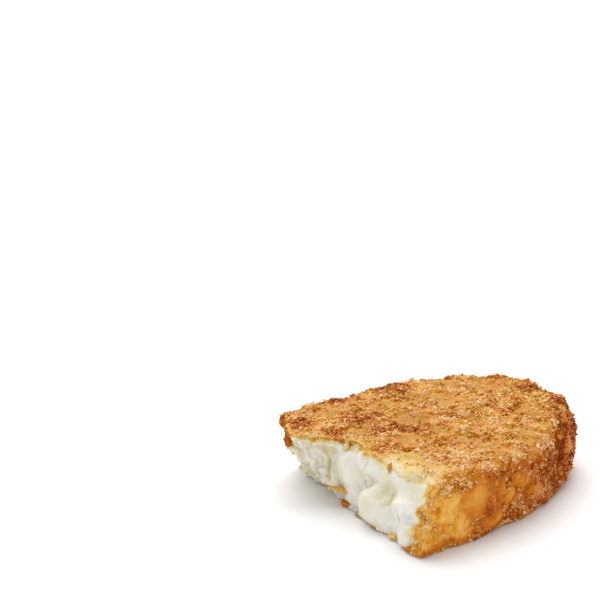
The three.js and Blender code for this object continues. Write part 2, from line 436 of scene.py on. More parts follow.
_, facet_wall, facets = cells(wavy(net + 9, 5, 1.6), FACET_SIZE)
_, _, chips = cells(wavy(net + 19, 3, 0.9), CHIP_SIZE)
some = ease(smooth_noise(net + 3, 6), -0.15, 0.3)
rear = ease(net_y, 5, 9)
hollow = near_spots(ragged, HOLLOWS, soft=0.6)
facet_crease = np.exp(-((facet_wall / 0.5) ** 2)) * some
creamy = near_spots(ragged, CREAMY, soft=0.5)
# painted shade: creases and hollows of the torn face, with a little of one broad creamy patch, take a
# darker cream colour
gap = np.maximum.reduce([0.5 * facet_crease, hollow, 0.3 * creamy])
fibres = smooth_noise(net * np.array([1.0, 1.0, 0.3]) + 70, 1.0, 2)
crumbly = 1 - near_spots(ragged, PLUMP, soft=0.3)
torn_relief = 0.27 * crumbly * facets - 0.12 * facet_crease + (0.22 * crumbly + 0.12 * rear) * chips
torn_relief += 0.15 * smooth_noise(net + 33, 2.2, 2) + (0.05 + 0.12 * rear) * fibres
torn_relief -= HOLLOW_DEPTH * hollow
pulled = np.exp(-(((depth - 1.0) / 1.3) ** 2))
torn_relief += 0.55 * pulled * smooth_noise(net + 60, 1.5, 2)
print(f"{gap[torn > 0.5].mean():.0%} of the torn face is crease or hollow")

# %% [markdown]
# ## Move the points
#
# The crust is drawn in a little, and its highest places are squeezed down softly, to leave room inside
# the solid's box for the crumbs that will sit on it. The foot is pressed flat on the plate: its relief
# may only go up from there. Where the lip sags its points are let down, together with those of the break
# under it. Then each is drawn towards its neighbours over many rounds, which rounds off the edge. A few
# rounds of the same make the pieces along the front smooth.

# %% A way to round off an edge
def read_numbers(collection, key, each=1):
    values = np.empty(len(collection) * each, np.int32)
    collection.foreach_get(key, values)
    return values.reshape(-1, each)


edge_ends = read_numbers(skin.edges, "vertices", 2).T


def softened(places, share, rounds):
    """The places, or values, each drawn to the mean of its neighbours by its share, round after round."""
    count = len(places)
    neighbours = np.bincount(edge_ends.ravel(), minlength=count)[:, None]
    for _ in range(rounds):
        sums = np.zeros_like(places)
        for here, there in (edge_ends, edge_ends[::-1]):
            sums += np.stack([np.bincount(here, column[there], count) for column in places.T], axis=1)
        places = places + share[:, None] * (sums / neighbours - places)
    return places


# %% Lift and press the net
ROOM = 0.45  # millimetres kept free for crumbs
LIP_ROUNDS = 70
PIECE_ROUNDS = 8
relief = fried * (crust_relief - 0.4 * ROOM) + torn * torn_relief
pressed = np.minimum(relief + 0.05, 0.0)
relief = relief + underside * (pressed - relief)
body = net + normals * relief[:, None]
body[:, 2] -= drop
body = softened(body, sagging * ease(from_break, 5, 1), LIP_ROUNDS)
body = softened(body, front * front_pieces, PIECE_ROUNDS)
low, high = box_low - PATTY_MIDDLE + 0.02, box_high - PATTY_MIDDLE - 0.02
low[2] = 0
beyond = body - (high - 2 * ROOM)
body = np.where(beyond > 0, high - 2 * ROOM + ROOM * np.tanh(beyond / ROOM), body)
beyond = (low + 2 * ROOM) - body
beyond[:, 2] = 0
body = np.where(beyond > 0, low + 2 * ROOM - ROOM * np.tanh(beyond / ROOM), body)
body[:, 2] = np.maximum(body[:, 2], 0)
skin.vertices.foreach_set("co", from_patty(body).astype(np.float32).ravel())
skin.update()
skin.polygons.foreach_set("use_smooth", np.ones(len(skin.polygons), bool))
print(f"Relief from {relief.min():.2f} to {relief.max():.2f} mm")

# %% [markdown]
# ## From brown to white
#
# The colour runs from brown crust through yellow to white potato. The way in is short at the foot and
# long further up. So the depth that the shaders see isn't the true one: it is stretched or squeezed by
# place, and noise makes its edge ragged. The sagging lip is so thin that the potato shines through, so it
# is given some depth too, and it turns from golden to cream towards its edge.

# %% Where the crust turns white, and how light the wall is
TONE_ROUNDS = 16

near_front = ease(net_y + 2.0 * smooth_noise(net + 27, 3.0, 2), -24, -30)
wander = smooth_noise(net + 28, 2.0, 2)
above_foot = net_z - 2.5 * wander + 0.6 * (net_y - 28)
near_tip = ease(net_y + 1.5 * wander, 23.0, 26.0) * ease(above_foot, 5, 9)
shown_depth = depth + 1.2 * smooth_noise(net + 17, 1.5, 3) + 0.5 * smooth_noise(net - 17, 4)
shown_depth = shown_depth * (1 + 2.2 * ease(net_z, 3, 1)) * (1 - 0.25 * sagging)
shown_depth = np.minimum(shown_depth, 0.5 + 3.4 * (1 - near_front) + 0.3 * smooth_noise(net + 37, 1.6, 2))
depth_of_lip = (0.4 + 2.3 * lip**2.3 * np.maximum(sagging, 0.4)) * ease(lip, 0, 0.1)
shown_depth = np.maximum(shown_depth, depth_of_lip)
shown_depth += 0.6 * ease(net_z, 1.4, 0.3) * torn
shown_depth += (0.3 - shown_depth) * near_tip
foot_of_break = ease(from_break, 2.0, 0.3) * ease(net_z, 3, 1.5) * fried * ease(net_y, -29, -25)
lip = np.maximum(lip, foot_of_break)
golden = np.maximum(front, near_front * torn) * ease(net_x + 2 * smooth_noise(net + 47, 3, 2), 8, -6)
any_dome = np.maximum(front_dome, 0.6 * cell_bare)
any_crease = np.maximum(front * small_crease, unlisted * crease)
# painted shade in the creases of the wall; the pieces of potato are lighter, partly by their own yellower
# colour and partly by a painted highlight
wall_tone = 0.30 + (0.38 - 0.1 * golden) * any_dome - 0.32 * any_crease * (1 - 0.5 * golden)
wall_tone += 0.38 * golden
wall_tone += 0.11 * smooth_noise(net - 80, 1.3, 3) + 0.14 * smooth_noise(net - 85, 3.5)
wall_tone = softened(wall_tone[:, None], 0.9 * front, TONE_ROUNDS)[:, 0]
wall_tone += 0.25 * golden * (1 - 0.5 * front_pieces) * smooth_noise(net + 39, 1.3, 2)
wall_tone += 0.06 * golden * ease(from_break, 7, 1) + (0.03 + 0.3 * grit) * crumbling
# painted shade: the wall is darker towards its foot, and towards the round end partly by toasting and
# partly by painted shade
wall_tone -= 0.33 * foot_edge + 0.18 * round_end
wall_tone += (0.04 - wall_tone) * scorched
warm = front * (1 - 0.3 * ease(smooth_noise(net, 4), 0, 0.5))
warm = np.maximum.reduce([warm, 0.8 * unlisted * wall, 0.8 * near_front * torn, scorched])

# %% Keep the tone of the crust, and all that the shaders need, on every point
body_tone = 0.38 + 0.36 * smooth_noise(net + 90, 3.2, 2) + 0.26 * patches * smooth_noise(net - 90, 1.1, 2)
body_tone += 0.3 * shoulder
# painted shade: a darker ring round the edge of each window, where the crumb round it would shade it
body_tone += 0.9 * windows * (1 - windows)
front_side = ease(net_y, -26, -30) * (1 - round_end)
less_toast = 0.5 * np.maximum(front_side, 0.3 * round_end * wall)
body_tone += 0.47 * toast * (1 - less_toast) + 0.22 * warm - 0.3 * pale - 0.5 * ease(lip, 0, 0.4)
body_tone += 0.12 * near_tip + (0.1 - 0.1 * near_front) * torn
body_tone += (0.27 + 0.4 * (body_tone - 0.6) - body_tone) * golden
body_tone = np.clip(body_tone, 0, 1)
body_rosy = 0.35 + 1.2 * smooth_noise(net - 33, 2.0, 2) + 0.5 * toast + 0.6 * round_end * wall
body_rosy += 0.3 * ease(side, 5, 2) + 0.2 * front - 0.9 * golden


def keep_values(mesh, **values):
    """Keeps one number a point on the mesh, for the shaders to read."""
    for name, numbers in values.items():
        layer = mesh.attributes.new(name, "FLOAT", "POINT")
        layer.data.foreach_set("value", np.asarray(numbers, np.float32))


keep_values(
    skin,
    depth=np.maximum(shown_depth, 0),
    torn=torn * (1 - 0.85 * np.maximum(near_front, near_tip)),
    bare=np.maximum(bare, 0.7 * (1 - patches) * (1 - wall) * (1 - toast)) * fried,
    wall_tone=np.clip(wall_tone, 0, 1),
    warm=warm,
    lip=lip,
    gap=gap * torn,
    rear=rear * torn,
    tone=body_tone,
    olive=np.maximum(near_spots(ragged, OLIVE_WINDOWS, soft=0.3), 0.3 * windows),
    # painted shade: a deeper orange ring round the edge of each window
    rosy=np.clip(body_rosy * (1 - 0.8 * windows) + 1.8 * windows * (1 - windows), 0, 1),
)
print(f"The break reaches {depth.max():.1f} mm deep")

# %% [markdown]
# ## Crumbs
#
# The crust is made of dust, grains, shreds and flakes, from a quarter of a millimetre up to two and more.
# Each kind is one joined mesh: a few rough little balls are shaped once, then copied, stretched, laid on
# the crust and half sunk in it. They gather between the smooth pieces and leave those nearly free.

# %% Helpers that shape a crumb
dice = np.random.default_rng(7)


def rough_balls(how_many, sides, rings, jitter):
    """Closed balls of about unit radius, along Z: the points of each, and the triangles they share."""
    ball = bmesh.new()
    bmesh.ops.create_uvsphere(ball, u_segments=sides, v_segments=rings, radius=1)
    bmesh.ops.triangulate(ball, faces=ball.faces)
    points = np.array([v.co for v in ball.verts])
    triangles = np.array([[v.index for v in f.verts] for f in ball.faces])
    ball.free()
    return points[None] * (1 + jitter * dice.uniform(-1, 1, (how_many, len(points), 1))), triangles


def unit(vectors):
    return vectors / np.maximum(np.linalg.norm(vectors, axis=1, keepdims=True), 1e-9)


def laid_on(normals, tilt):
    """For each normal, three rows: the crumb's X, Y and Z. X is up, give or take the tilt."""
    up = unit(normals + tilt * dice.normal(size=normals.shape))
    along = unit(np.cross(up, dice.normal(size=normals.shape)))
    return np.stack([up, np.cross(along, up), along], axis=1)


# %% Helpers that scatter crumbs
skin.calc_loop_triangles()
corners = read_numbers(skin.loop_triangles, "vertices", 3)
surface_normals = read_vectors(skin.vertex_normals, "vector")
edges = body[corners[:, 1:]] - body[corners[:, :1]]
areas = np.linalg.norm(np.cross(edges[:, 0], edges[:, 1]), axis=1) / 2


def spots_on_body(count, density):
    """Random places on the surface, more of them where the density is higher: corners and weights."""
    chances = areas * np.maximum(density[corners].mean(axis=1), 0)
    chosen = dice.choice(len(corners), count, p=chances / chances.sum())
    return corners[chosen], dice.dirichlet((1, 1, 1), count)


def blend(values, spots):
    """The value at each spot, from those at its triangle's corners."""
    where, weights = spots
    weights = weights if values.ndim == 1 else weights[:, :, None]
    return (values[where] * weights).sum(axis=1)


def joined_mesh(name, points, triangles, **values):
    """One mesh of many copies: points is copies x points x 3, in the patty's frame."""
    copies, each = points.shape[:2]
    faces = (triangles[None] + each * np.arange(copies)[:, None, None]).reshape(-1, 3)
    mesh = bpy.data.meshes.new(name)
    mesh.vertices.add(copies * each)
    points = points - np.maximum(points.max(axis=1, keepdims=True) - high, 0)
    points = points + np.maximum(low - points.min(axis=1, keepdims=True), 0)
    places = from_patty(points.reshape(-1, 3))
    mesh.vertices.foreach_set("co", places.astype(np.float32).ravel())
    mesh.loops.add(faces.size)
    mesh.loops.foreach_set("vertex_index", faces.astype(np.int32).ravel())
    mesh.polygons.add(len(faces))
    mesh.polygons.foreach_set("loop_start", np.arange(0, faces.size, 3, dtype=np.int32))
    mesh.update(calc_edges=True)
    for key, numbers in values.items():
        keep_values(mesh, **{key: np.broadcast_to(numbers.reshape(copies, -1), (copies, each)).ravel()})
    mesh.polygons.foreach_set("use_smooth", np.ones(len(faces), bool))
    print(f"{name}: {copies} pieces, {len(faces)} triangles")
    return link(name, mesh)


BALL_KINDS = 24
# painted highlight: each crumb is painted paler on its top, where the light falls
PAINTED_TOP_HIGHLIGHT = 0.16  # how much paler a crumb is on its top
PALE_SHARE, PALE_SHARE_IN_TUFTS = 0.05, 0.8
TOASTED_SHARE = 0.08
pale_tufts = ease(smooth_noise(net + 95, 0.9), 0.1, 0.3)
lively = (1 - 0.7 * front * ease(net_z, 15.5, 12.5) * ease(net_x, 24, 14)) * (1 - 0.4 * round_end * wall)


def crumbs(
    name, count, density, radii, form=(4, 2), shape=(0.9, 0.9, 1.2), tilt=1.0, curl=0.0, sink=0.1, tone=0.0
):
    """Scatters crumbs. Each has a tone of its own, from 0, pale, to 1, toasted.

    form is the number of sides and rings of the ball, and shape stretches it up, across and along.
    """
    balls, triangles = rough_balls(BALL_KINDS, *form, jitter=0.3)
    spots = spots_on_body(count, density)
    radius = radii[0] + (radii[1] - radii[0]) * dice.random(count) ** 2
    points = balls[dice.integers(len(balls), size=count)] * np.array(shape)
    points = points * dice.uniform(0.7, 1.3, (count, 1, 3))
    points[:, :, 0] += curl * dice.normal(size=(count, 1)) * points[:, :, 2] ** 2
    points = (points * radius[:, None, None]) @ laid_on(blend(surface_normals, spots), tilt)
    lift = radius * shape[0] * (dice.uniform(-0.4, 0.9, count) - sink)
    middle = blend(body, spots) + blend(surface_normals, spots) * lift[:, None]
    own_tone = blend(body_tone, spots) + tone + 0.1 * dice.normal(size=count)
    paler = dice.random(count) < blend(PALE_SHARE + PALE_SHARE_IN_TUFTS * pale_tufts, spots)
    own_tone -= np.where(paler, dice.uniform(0.25, 0.55, count), 0) * blend(lively, spots)
    toasted = dice.random(count) < TOASTED_SHARE
    own_tone += np.where(toasted, dice.uniform(0.1, 0.4, count), 0) * blend(lively, spots)
    tops = (points * blend(surface_normals, spots)[:, None]).sum(axis=2) / radius[:, None]
    # painted highlight: paler on the crumb's top
    own_tone = np.clip(own_tone[:, None] - PAINTED_TOP_HIGHLIGHT * tops, 0, 1)
    own_rosy = np.clip(blend(body_rosy, spots) + 0.15 * dice.normal(size=count), 0, 1)
    return joined_mesh(name, points + middle[:, None], triangles, tone=own_tone, rosy=own_rosy)


# %% [markdown]
# ### The kinds of crumb
#
# Dust and grains cover the crust, and grains are thickest along the rim of the top. Shreds lie across
# them, and larger flakes gather at the round end, at the far tip of the break and low on the front wall.
# More grains of a darker tone fill the toasted clusters.

# %% Scatter them
RIM_HEIGHT = 15.6

hidden_less = 1 - 0.6 * underside
crusted = np.maximum.reduce([fried, near_front * torn * ease(shown_depth, 1.6, 0.5), near_tip])
grainy = crusted * (1 - 0.9 * bare) * (0.04 + np.maximum(patches, 0.8 * toast)) * hidden_less
smooth_front = front * ease(net_z, 15.5, 12.5) * ease(net_x, 17, 5)
grainy = grainy * (1 - smooth_front * (1 - 0.4 * in_clusters))
grainy = grainy * (1 - 0.96 * ease(lip, 0.1, 0.5) * (1 - 0.8 * pale))
grainy = grainy * (1 - ease(from_break, 2.0, 0.5) * ease(net_z, 3, 1) * (1 - near_front))
rim = fried * ease(np.abs(net_z - RIM_HEIGHT), 2.4, 0.4)
flaky = grainy * (0.4 + 0.4 * round_end * wall + near_tip + 0.8 * smooth_front)
dusty = grainy * (1 - 0.8 * smooth_front) + 0.03 * fried * (1 - wall) * (1 - lip)
few = 1.0

pieces = [
    crumbs("crust_dust", int(18000 * few), dusty, (0.13, 0.26)),
    crumbs("crust_grains", int(6500 * few), grainy + 0.3 * rim * (1 - bare), (0.2, 0.4), form=(5, 3)),
    crumbs(
        "crust_shreds", int(8200 * few), grainy, (0.22, 0.46),
        form=(4, 4), shape=(1.0, 0.65, 1.15), curl=0.4, sink=0.15, tone=-0.14,
    ),
    crumbs(
        "crust_flakes", int(1600 * few), flaky, (0.35, 0.7),
        form=(7, 5), shape=(0.5, 0.85, 1.3), tilt=0.6, curl=0.2, sink=0.4,
    ),
    crumbs("toasted_grains", int(10000 * few), grainy * (0.03 + toast**2), (0.14, 0.32), tone=0.2),
]

# %% [markdown]
# ## Bits named one by one
#
# A torn patty drops bits. A flat flake of crust sticks out at the foot of the break, a few slivers and a
# toasted bit lie under it, a pink crumb hangs from the lip, and knobs of crust sit on both corners. Each
# is a ball that is squared off into a block and roughened by noise.

# %% Lay the bits
BITS = [
    # where, its place, half its length, breadth and thickness, the way it heads in degrees, and its tone
    ("break", (5.0, 4.0), (4.9, 1.2, 0.35), 94, 0.24),
    ("break", (3.5, 1.0), (1.7, 0.8, 0.6), 75, 0.62),
    ("break", (-3.5, 0.5), (1.0, 0.22, 0.2), 100, 0.5),
    ("break", (-12.0, 0.5), (1.5, 0.22, 0.2), 85, 0.55),
    ("break", (-19.5, 1.0), (1.3, 0.6, 0.5), 80, 0.12),
    ("break", (-12.5, 14.5), (0.6, 0.4, 1.2), 30, 0.42),
    ("break", (4.5, 14.5), (0.6, 0.5, 1.4), 0, 0.05),
    ("break", (-30.0, 1.5), (1.5, 1.1, 0.9), 60, 0.45),
    ("break", (-27.5, 1.0), (0.8, 0.6, 0.5), 20, 0.55),
    ("break", (26.5, 10.0), (0.6, 0.9, 1.1), 0, 0.74),
    ("top", (-5.0, 24.5), (1.5, 1.2, 0.8), 30, 0.12),
    ("top", (-7.0, 22.5), (1.0, 0.8, 0.6), 120, 0.74),
    ("top", (-6.5, 19.5), (0.8, 0.6, 0.5), 60, 0.68),
    ("top", (-4.0, 27.5), (1.0, 0.7, 0.6), 10, 0.6),
    ("top", (4.0, -11.5), (0.6, 0.5, 0.5), 0, 0.0),
    ("top", (14.0, -3.0), (1.7, 1.2, 0.5), 45, 0.64),
    ("top", (3.0, -9.0), (1.5, 1.0, 0.4), 60, 0.55),
    ("top", (-5.5, 7.0), (1.3, 0.5, 0.4), 100, 0.68),
]


def standing_at(where, place):
    """The point of the body at a named place: seen from the front on the break, and from above on top."""
    if where == "top":
        away = np.hypot(*(body[:, :2] - place).T) - 0.2 * body[:, 2]
    else:
        away = np.hypot(*(body[:, 1:] - place).T) + 0.2 * body[:, 0]
    return int(np.argmin(away))


BLOCKY = 0.7  # 0 for a ball, 1 for a box
BIT_LUMPS = 0.35  # of the size
BIT_GRAIN = 0.6  # of the thickness
BIT_SIDES, BIT_RINGS = 26, 16


def lumpy_bit(half_sizes, heading, seed):
    """The points of one bit, round its own middle."""
    ball, triangles = rough_balls(1, BIT_SIDES, BIT_RINGS, jitter=0.0)
    points = ball[0] / np.max(np.abs(ball[0]), axis=1, keepdims=True) ** BLOCKY
    points = points * (1 + BIT_LUMPS * smooth_noise(points * 1.2 + seed, 1.0, 2)[:, None])
    points = points * np.array(half_sizes)
    points += BIT_GRAIN * min(half_sizes) * smooth_noise(points * 2.2 + seed, 1.0, 2)[:, None] * ball[0]
    c, s = math.cos(math.radians(heading)), math.sin(math.radians(heading))
    return points @ np.array([[c, s, 0], [-s, c, 0], [0, 0, 1]]), triangles


bit_points = []
for number, (where, place, half_sizes, heading, tone) in enumerate(BITS):
    points, triangles = lumpy_bit(half_sizes, heading, 10 * number)
    at = standing_at(where, place)
    lift = 0.5 * half_sizes[1] if where == "break" else 0.15 * min(half_sizes)
    bit_points.append(points + body[at] + surface_normals[at] * lift)
bit_tones = np.array([bit[-1] for bit in BITS])
pieces.append(joined_mesh("torn_bits", np.array(bit_points), triangles, tone=bit_tones, rosy=bit_tones))

# %% [markdown]
# ## Shader groups
#
# The finishes share a few effects: broken-up colour, the grain of crumb, and the run from brown through
# yellow to white. Each effect is a node group, built once, with named inputs, and placed in the materials
# with its own values.


# %% A short way to write node trees
def new_group(name, inputs, outputs):
    """An empty shader node group with the given sockets, as {name: (type, default)}."""
    group = bpy.data.node_groups.new(name, "ShaderNodeTree")
    for label, (kind, value) in inputs.items():
        socket = group.interface.new_socket(label, in_out="INPUT", socket_type=kind)
        socket.default_value = value
    for label, kind in outputs.items():
        group.interface.new_socket(label, in_out="OUTPUT", socket_type=kind)
    return group, group.nodes.new("NodeGroupInput"), group.nodes.new("NodeGroupOutput")


def plug(tree, socket, value):
    """Links another node's output to the socket, or sets the socket to a value."""
    if isinstance(value, bpy.types.NodeSocket):
        tree.links.new(value, socket)
    else:
        socket.default_value = value


def add(tree, kind, settings=None, **inputs):
    """Adds a node, with its inputs by name."""
    node = tree.nodes.new(kind)
    for key, value in (settings or {}).items():
        setattr(node, key, value)
    for label, value in inputs.items():
        plug(tree, node.inputs[label.replace("_", " ")], value)
    return node


def mix_colour(tree, share, first, second, way="MIX"):
    node = add(tree, "ShaderNodeMix", {"data_type": "RGBA", "blend_type": way})
    for index, value in ((0, share), (6, first), (7, second)):
        plug(tree, node.inputs[index], value)
    return node.outputs[2]


def maths(tree, operation, *values, clamp=False):
    node = add(tree, "ShaderNodeMath", {"operation": operation, "use_clamp": clamp})
    for socket, value in zip(node.inputs, values):
        plug(tree, socket, value)
    return node.outputs[0]


def step(tree, value, start, end):
    """The eased step, as a node."""
    node = add(tree, "ShaderNodeMapRange", {"interpolation_type": "SMOOTHSTEP"}, Value=value)
    node.inputs["From Min"].default_value = start
    node.inputs["From Max"].default_value = end
    return node.outputs["Result"]


def ramp(tree, value, stops):
    """A band of colours, as (position, colour) from first to last."""
    node = add(tree, "ShaderNodeValToRGB", Fac=value)
    band = node.color_ramp
    band.elements[0].position, band.elements[0].color = stops[0]
    band.elements[1].position, band.elements[1].color = stops[-1]
    for position, colour in stops[1:-1]:
        band.elements.new(position).color = colour
    return node.outputs["Color"]


def kept(tree, name):
    return add(tree, "ShaderNodeAttribute", {"attribute_name": name}).outputs["Fac"]


# %% Speckle: fine grain and flecks
speckle, into, out_of = new_group(
    "Speckle",
    {"Size in mm": ("NodeSocketFloat", 0.5), "Amount": ("NodeSocketFloat", 0.5)},
    {"Flecks": "NodeSocketFloat", "Height": "NodeSocketFloat"},
)
place = add(speckle, "ShaderNodeTexCoord").outputs["Object"]
scale = maths(speckle, "DIVIDE", 1 / MM, into.outputs["Size in mm"])
grain = add(speckle, "ShaderNodeTexNoise", Vector=place, Scale=scale, Detail=3.0, Roughness=0.65)
pebble = add(speckle, "ShaderNodeTexVoronoi", Vector=place, Scale=scale)
picked = add(speckle, "ShaderNodeSeparateColor", Color=pebble.outputs["Color"]).outputs[0]
threshold = maths(speckle, "SUBTRACT", 1.0, into.outputs["Amount"])
chosen = maths(speckle, "GREATER_THAN", picked, threshold)
flecks = maths(speckle, "MULTIPLY", chosen, step(speckle, pebble.outputs["Distance"], 0.55, 0.2))
plug(speckle, out_of.inputs["Flecks"], flecks)
fleck_height = maths(speckle, "MULTIPLY", flecks, 0.3)
height = maths(speckle, "MULTIPLY_ADD", grain.outputs["Fac"], 0.7, fleck_height)
plug(speckle, out_of.inputs["Height"], height)
print("Group", speckle.name, "has", len(speckle.nodes), "nodes")

# %% Drift: slow changes from 0 to 1
drift, into, out_of = new_group(
    "Drift", {"Size in mm": ("NodeSocketFloat", 4.0)}, {"Share": "NodeSocketFloat"}
)
place = add(drift, "ShaderNodeTexCoord").outputs["Object"]
scale = maths(drift, "DIVIDE", 1 / MM, into.outputs["Size in mm"])
cloud = add(
    drift, "ShaderNodeTexNoise", Vector=place, Scale=scale, Detail=4.0, Roughness=0.6, Distortion=0.4
)
plug(drift, out_of.inputs["Share"], step(drift, cloud.outputs["Fac"], 0.38, 0.62))
print("Group", drift.name, "has", len(drift.nodes), "nodes")

# %% Edge of the crust: brown to white by depth
BROWN_EDGE = (0.52, 0.20, 0.020, 1)
GOLD_EDGE = (0.72, 0.40, 0.06, 1)
YELLOW_EDGE = (0.78, 0.56, 0.18, 1)
CREAM_EDGE = (0.79, 0.71, 0.45, 1)
WHITE = (0.83, 0.82, 0.78, 1)
DEEPEST = 3.6
cut_edge, into, out_of = new_group(
    "Cut edge", {"Depth": ("NodeSocketFloat", 0.0)}, {"Colour": "NodeSocketColor"}
)
share = maths(cut_edge, "DIVIDE", into.outputs["Depth"], DEEPEST, clamp=True)
stops = [(0.0, BROWN_EDGE), (0.12, GOLD_EDGE), (0.3, YELLOW_EDGE), (0.6, CREAM_EDGE), (1.0, WHITE)]
plug(cut_edge, out_of.inputs["Colour"], ramp(cut_edge, share, stops))
print("Group", cut_edge.name, "runs over", DEEPEST, "mm")


# %% Fried tone: from pale to toasted, in a golden and in a rosy line
GOLDEN = [
    (0.0, (0.93, 0.67, 0.30, 1)),
    (0.3, (0.76, 0.405, 0.034, 1)),
    (0.6, (0.59, 0.235, 0.001, 1)),
    (0.8, (0.50, 0.130, 0.001, 1)),
    (1.0, (0.28, 0.052, 0.001, 1)),
]
ROSY = [
    (0.0, (0.95, 0.60, 0.36, 1)),
    (0.3, (0.76, 0.32, 0.060, 1)),
    (0.6, (0.58, 0.150, 0.001, 1)),
    (0.8, (0.44, 0.068, 0.001, 1)),
    (1.0, (0.24, 0.028, 0.001, 1)),
]
fried_tone, into, out_of = new_group(
    "Fried tone",
    {"Tone": ("NodeSocketFloat", 0.0), "Rosy": ("NodeSocketFloat", 0.0)},
    {"Colour": "NodeSocketColor"},
)
golden = ramp(fried_tone, into.outputs["Tone"], GOLDEN)
rosy = ramp(fried_tone, into.outputs["Tone"], ROSY)
plug(fried_tone, out_of.inputs["Colour"], mix_colour(fried_tone, into.outputs["Rosy"], golden, rosy))
print("Group", fried_tone.name, "has", len(GOLDEN) + len(ROSY), "colours")


def use(tree, group, **inputs):
    return add(tree, "ShaderNodeGroup", {"node_tree": group}, **inputs)


def gloss(tree, low, high, size_mm):
    """An uneven roughness between two values."""
    share = use(tree, drift, Size_in_mm=size_mm).outputs["Share"]
    return maths(tree, "MULTIPLY_ADD", share, high - low, low)


def bump(tree, height, depth_mm):
    return add(tree, "ShaderNodeBump", Height=height, Distance=depth_mm * MM).outputs["Normal"]


def new_material(name):
    material = bpy.data.materials.new(name)
    material.use_nodes = True
    return material, material.node_tree, material.node_tree.nodes["Principled BSDF"]


def finish_shader(tree, shader, linked, constants):
    """Plugs what varies over the surface, and sets what doesn't on the shader's own sockets."""
    for label, value in linked.items():
        tree.links.new(value, shader.inputs[label])
    for label, value in constants.items():
        shader.inputs[label].default_value = value


# %% [markdown]
# ## Browned crust
#
# The crust on top runs from pale gold to a toasted red-brown, and its raised flecks are painted paler,
# partly as pale crumb and partly as a painted highlight. Its smooth windows are the colour of honey or of
# olives, with a painted shade round their edges. The wall is orange, with painted shade in its creases, at
# its foot and, together with toasting, towards the round end. It is nearly yellow on its pieces of potato,
# partly by their own colour and partly by a painted highlight. The thin lip goes from golden to cream. The
# crust is slightly oily, so its gloss is uneven.

# %% The crust material
OLIVE = (0.43, 0.190, 0.001, 1)
HONEY = (0.58, 0.275, 0.018, 1)
PALE_HONEY = (0.67, 0.350, 0.055, 1)
DARK_HONEY = (0.42, 0.140, 0.002, 1)
LIP_SHADE = (0.90, 0.86, 0.80, 1)
ORANGE = (0.60, 0.190, 0.004, 1)
WALL_TONES = [
    (0.0, (0.27, 0.044, 0.001, 1)),
    (0.25, (0.53, 0.115, 0.002, 1)),
    (0.5, (0.70, 0.225, 0.012, 1)),
    (0.75, (0.86, 0.430, 0.065, 1)),
    (1.0, (0.96, 0.650, 0.220, 1)),
]

crust, tree, shader = new_material("browned_crust")
slow = use(tree, drift, Size_in_mm=4.0).outputs["Share"]
grain = use(tree, speckle, Size_in_mm=0.6, Amount=0.25)
# the raised flecks are painted paler: partly pale crumb, partly a painted highlight
fleck_and_highlight_tone = maths(tree, "MULTIPLY_ADD", grain.outputs["Flecks"], -0.2, kept(tree, "tone"))
blotch = use(tree, drift, Size_in_mm=0.9).outputs["Share"]
fleck_and_highlight_tone = maths(tree, "MULTIPLY_ADD", blotch, 0.3, fleck_and_highlight_tone)
colour = use(tree, fried_tone, Tone=fleck_and_highlight_tone, Rosy=kept(tree, "rosy")).outputs["Colour"]
honey = mix_colour(tree, kept(tree, "olive"), mix_colour(tree, slow, PALE_HONEY, HONEY), OLIVE)
quick = use(tree, drift, Size_in_mm=1.3).outputs["Share"]
honey = mix_colour(tree, maths(tree, "MULTIPLY", quick, 0.3), honey, DARK_HONEY)
honey = mix_colour(tree, maths(tree, "MULTIPLY", kept(tree, "rosy"), 0.8), honey, ORANGE)
colour = mix_colour(tree, kept(tree, "bare"), colour, honey)
uneven = maths(tree, "MULTIPLY_ADD", use(tree, drift, Size_in_mm=0.8).outputs["Share"], 0.10, -0.05)
wall_colour = ramp(tree, maths(tree, "ADD", kept(tree, "wall_tone"), uneven), WALL_TONES)
colour = mix_colour(tree, kept(tree, "warm"), colour, wall_colour)
edge_depth = maths(tree, "MULTIPLY_ADD", quick, -0.4, kept(tree, "depth"))
edge_colour = use(tree, cut_edge, Depth=edge_depth).outputs["Colour"]
at_edge = maths(tree, "MAXIMUM", kept(tree, "torn"), step(tree, kept(tree, "lip"), 0.02, 0.4))
colour = mix_colour(tree, at_edge, colour, mix_colour(tree, 1.0, edge_colour, LIP_SHADE, "MULTIPLY"))
finish_shader(
    tree, shader,
    {
        "Base Color": colour, "Roughness": gloss(tree, 0.3, 0.55, 1.2),
        "Normal": bump(tree, grain.outputs["Height"], 0.2),
    },
    {
        "IOR": 1.45, "Specular IOR Level": 0.14, "Subsurface Weight": 0.2,
        "Subsurface Radius": (1.0, 0.4, 0.12), "Subsurface Scale": 1.0 * MM,
    },
)

# %% [markdown]
# ## Soft potato
#
# Boiled potato is white, moist and lets light in, so most of its look is subsurface scattering, whose
# reach of nearly two millimetres softens every crease. Creases and hollows get a painted shade of cream
# with a touch of green, which also tints one broad creamy patch a little. The back of the break gets a
# painted shade that makes it duller and greyer than the front.

# %% The potato material
CREAM = (0.80, 0.77, 0.68, 1)
CREAM_AND_HOLLOW_SHADE = (0.66, 0.59, 0.30, 1)
REAR_SHADE = (0.68, 0.62, 0.50, 1)
flesh, tree, shader = new_material("soft_potato")
colour = mix_colour(tree, use(tree, drift, Size_in_mm=5.0).outputs["Share"], WHITE, CREAM)
patchy = maths(tree, "MULTIPLY_ADD", use(tree, drift, Size_in_mm=2.5).outputs["Share"], 0.5, 0.5)
# painted shade: the back of the break is painted duller and greyer
rear_shade = maths(tree, "MULTIPLY", kept(tree, "rear"), patchy)
colour = mix_colour(tree, rear_shade, colour, REAR_SHADE)
